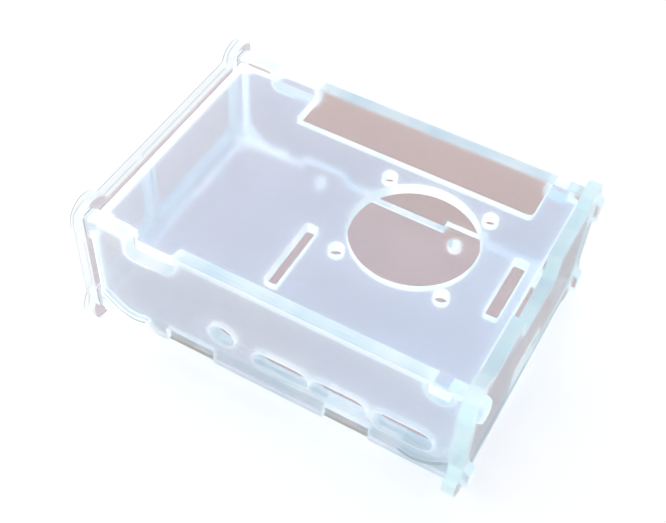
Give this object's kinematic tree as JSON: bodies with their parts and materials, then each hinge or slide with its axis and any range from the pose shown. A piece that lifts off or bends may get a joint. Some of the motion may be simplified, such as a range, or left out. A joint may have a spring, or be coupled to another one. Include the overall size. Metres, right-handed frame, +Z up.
{
  "type": "single-board computer enclosure",
  "caption": "Clear snap-together plate enclosure for a small single-board computer, with port slots, a fan opening, a header notch and a hinged lid.",
  "frame": {"origin": "centre of the footprint, on the plane under the four lower ears that the enclosure stands on", "axes": "+X towards the card end where the lid is hinged, +Y towards the header side, -Y towards the port side, +Z up"},
  "size_m": [0.095, 0.069, 0.037],
  "materials": {
    "clear_acrylic": "polished faces, laser-cut glossy edges"
  },
  "bodies": {
    "case": {"bottom_plate": "clear_acrylic", "front_plate": "clear_acrylic", "back_plate": "clear_acrylic", "left_end_plate": "clear_acrylic", "right_end_plate": "clear_acrylic"},
    "lid": {"lid_plate": "clear_acrylic"}
  },
  "joints": [
    {"name": "lid_hinge", "type": "hinge", "parent": "case", "child": "lid", "pos_m": [0.0379, 0, 0.0313], "axis": [0, 1, 0], "range_deg": [0, 115]}
  ]
}
